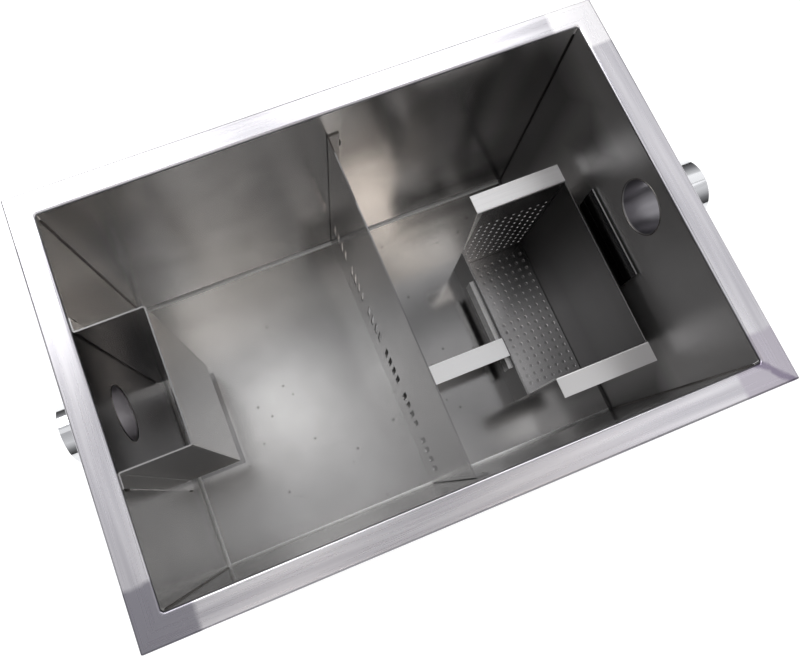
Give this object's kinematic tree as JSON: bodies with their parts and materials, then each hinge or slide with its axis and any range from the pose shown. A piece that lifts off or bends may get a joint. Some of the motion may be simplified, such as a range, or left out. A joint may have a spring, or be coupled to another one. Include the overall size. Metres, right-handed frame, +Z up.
{
  "type": "grease trap",
  "caption": "Open rectangular stainless steel grease trap with a flat folded rim, end pipe stubs, a slotted baffle, an outlet hood and a lift-out perforated strainer basket.",
  "frame": {"origin": "middle of the tank's underside", "axes": "+X along the tank towards the inlet end, +Y towards the back wall, +Z up"},
  "size_m": [0.656, 0.415, 0.31],
  "materials": {
    "satin_stainless": "rim brushed along its length, inside with the rolled mill finish",
    "polished_stainless": "smooth bright tube",
    "mill_stainless": "rolled mill finish, satin",
    "basket_stainless": "satin, brushed on the tabs and the strap"
  },
  "bodies": {
    "root": {"tank_shell": "satin_stainless", "inlet_pipe": "polished_stainless", "outlet_pipe": "polished_stainless", "slotted_baffle": "mill_stainless", "outlet_hood": "mill_stainless", "inlet_rail": "mill_stainless", "strainer_basket": "basket_stainless", "basket_hook": "basket_stainless"}
  },
  "joints": []
}
